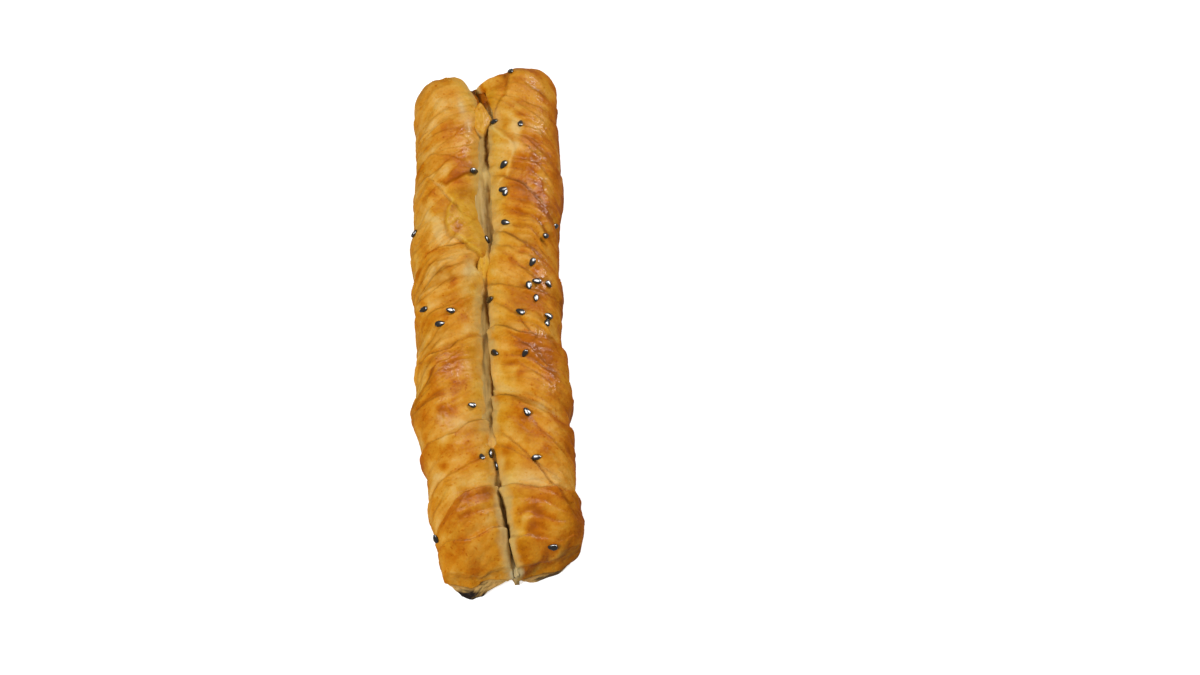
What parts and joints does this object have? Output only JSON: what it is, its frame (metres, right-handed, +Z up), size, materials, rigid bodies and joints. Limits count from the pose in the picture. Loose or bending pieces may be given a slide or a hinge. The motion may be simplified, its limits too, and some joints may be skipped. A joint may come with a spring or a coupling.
{
  "type": "cheese borek",
  "caption": "Baked cheese borek: long rolls of thin glazed dough side by side, joined along an open seam, with wrapped folds and a sprinkle of black seeds.",
  "frame": {"origin": "on the surface the pastry lies on, below the middle of its box", "axes": "+Y along the rolls from the near end to the far end, +Z up, +X to the right as seen from the near end"},
  "size_m": [0.0576, 0.1968, 0.0269],
  "materials": {
    "crust": "egg-washed baked dough, golden amber to brown, half gloss",
    "seed": "smooth black seed, oily gloss"
  },
  "bodies": {
    "root": {"pastry": "crust"}
  },
  "joints": []
}
